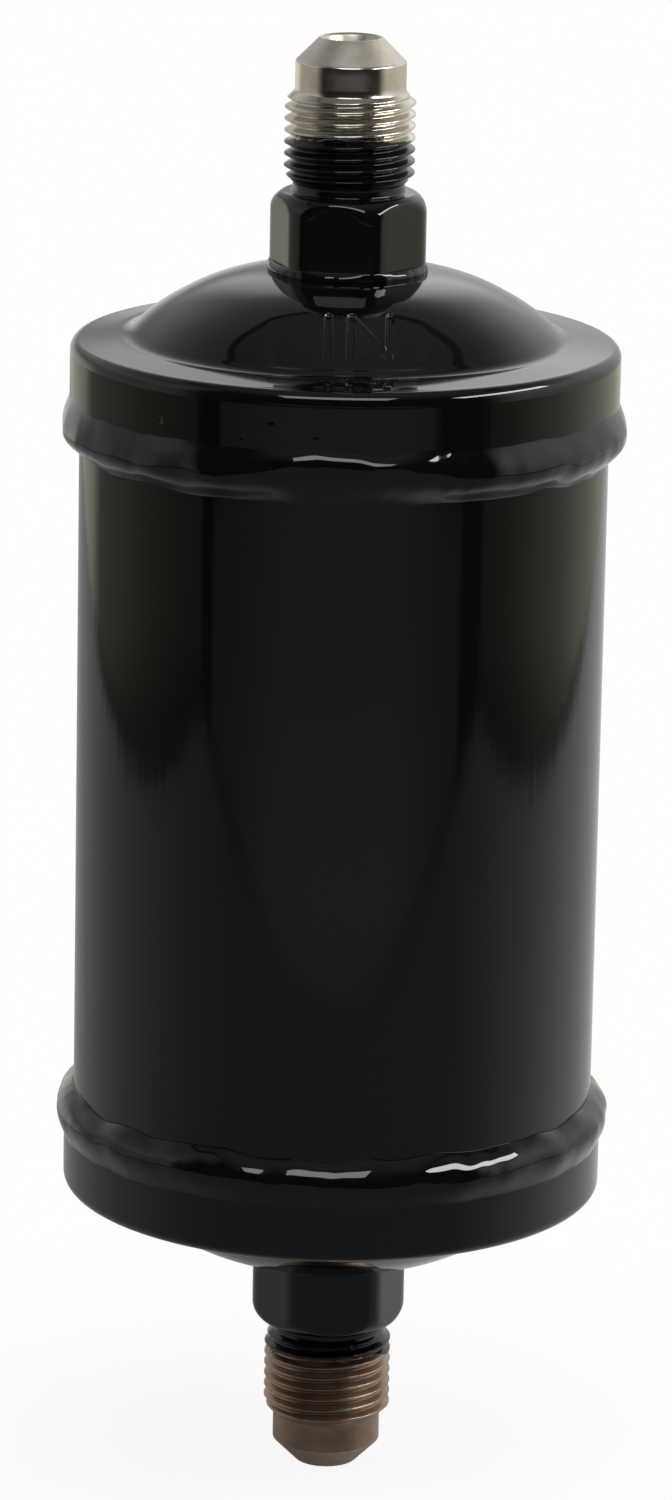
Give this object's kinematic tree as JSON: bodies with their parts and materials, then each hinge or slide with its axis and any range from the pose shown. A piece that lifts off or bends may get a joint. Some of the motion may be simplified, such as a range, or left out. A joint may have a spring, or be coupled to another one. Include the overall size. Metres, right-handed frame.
{
  "type": "filter drier",
  "caption": "Sealed steel filter drier for a liquid line: straight can, domed end caps lapped and welded over it, and a male 45 degree flare fitting at each end.",
  "frame": {"origin": "middle of the can on its axis, halfway between the two cap rims", "axes": "+Z along the can's axis from outlet to inlet, against the flow; -Y faces the viewer of the picture, +X to the viewer's right"},
  "size_m": [0.0692, 0.0692, 0.1806],
  "materials": {
    "black_paint": "gloss",
    "inlet_plating": "satin",
    "outlet_plating": "satin",
    "inner_steel": "satin",
    "felt": "matte",
    "filter_fibre": "matte",
    "moulded_desiccant": "matte"
  },
  "bodies": {
    "root": {"shell_tube": "black_paint", "inlet_end_cap": "black_paint", "outlet_end_cap": "black_paint", "inlet_weld_bead": "black_paint", "outlet_weld_bead": "black_paint", "inlet_flare_fitting": "inlet_plating", "outlet_flare_fitting": "outlet_plating", "inlet_braze_ring": "black_paint", "outlet_braze_ring": "black_paint", "hold_down_spring": "inner_steel", "spring_plate": "inner_steel", "core_cushion_pad": "felt", "desiccant_core": "moulded_desiccant", "core_seat_gasket": "felt", "outlet_filter_pad": "filter_fibre", "outlet_wire_screen": "inner_steel", "outlet_perforated_plate": "inner_steel"}
  },
  "joints": []
}
